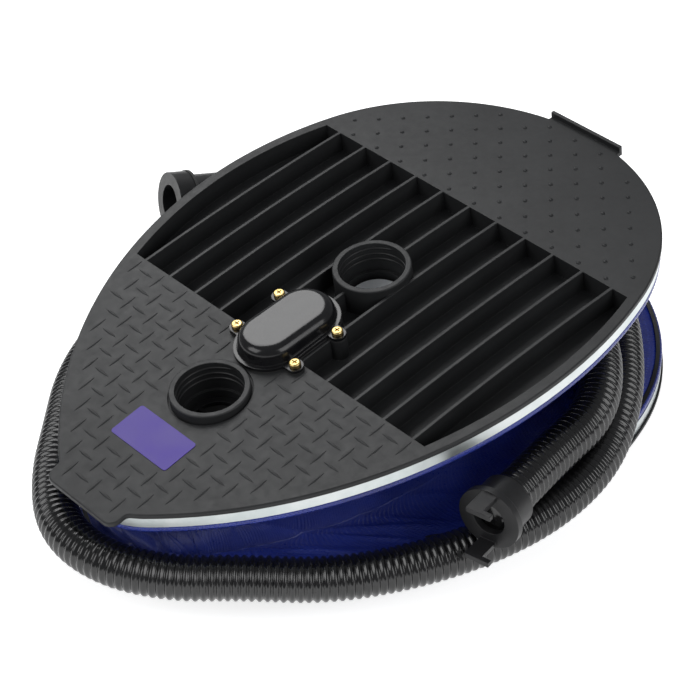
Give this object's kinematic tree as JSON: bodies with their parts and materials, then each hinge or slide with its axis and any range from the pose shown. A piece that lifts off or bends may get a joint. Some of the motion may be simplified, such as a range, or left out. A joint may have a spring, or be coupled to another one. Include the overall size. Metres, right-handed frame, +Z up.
{
  "type": "foot air pump",
  "caption": "Bellows foot pump: two egg-shaped plates hinged at the narrow end, fabric bellows between them, two hose ports and a hose stowed round the bellows.",
  "frame": {"origin": "on the floor under the middle of the pump's box, hose and hose ends left out", "axes": "+X from the hinge at the narrow end to the wide end, +Z up from the rubber feet"},
  "size_m": [0.454, 0.3828, 0.1235],
  "materials": {
    "black_moulding": "matt, finely textured moulding",
    "steel_band": "bright zinc-plated strip",
    "blue_fabric": "coated woven fabric, semi-gloss",
    "gloss_black": "polished black moulding",
    "hose_black": "glossy corrugated hose",
    "screw_yellow": "yellow-passivated steel",
    "valve_white": "white flexible disc",
    "black_rubber": "soft black rubber",
    "spring_steel": "oiled spring wire",
    "sticker_violet": "plain one-colour sticker"
  },
  "bodies": {
    "base": {"base": "black_moulding", "base_band": "steel_band", "base_hem": "blue_fabric", "rubber_feet": "black_rubber", "bellows": "blue_fabric", "hinge_pin": "spring_steel", "return_spring": "spring_steel", "base_spring_cup": "black_moulding", "hose": "hose_black", "hose_cuff": "black_moulding", "hose_nozzle": "black_moulding", "hose_connector": "black_moulding", "connector_seal": "black_rubber", "connector_nose": "black_moulding"},
    "deck": {"deck": "black_moulding", "deck_band": "steel_band", "deck_hem": "blue_fabric", "deck_spring_cup": "black_moulding", "outlet_seat": "black_moulding", "outlet_stem": "valve_white", "intake_seat": "black_moulding", "intake_stem": "black_rubber", "valve_cover": "gloss_black", "cover_gasket": "black_rubber", "cover_screws": "screw_yellow", "label": "sticker_violet"},
    "outlet_valve": {"outlet_disc": "valve_white"},
    "intake_valve": {"intake_disc": "black_rubber"}
  },
  "joints": [
    {"name": "deck_hinge", "type": "hinge", "parent": "base", "child": "deck", "pos_m": [-0.18354, 0, 0.04495], "axis": [0, -1, 0], "range_deg": [-2, 10], "stiffness_Nm_per_rad": 60, "springref_deg": 1.03, "deforming": ["bellows", "return_spring"]},
    {"name": "outlet_lift", "type": "slide", "parent": "deck", "child": "outlet_valve", "axis": [-0.1049, 0, 0.9945], "range_m": [0, 0.0025], "stiffness_N_per_m": 60},
    {"name": "intake_drop", "type": "slide", "parent": "deck", "child": "intake_valve", "axis": [0.1049, 0, -0.9945], "range_m": [0, 0.0025], "stiffness_N_per_m": 100}
  ]
}
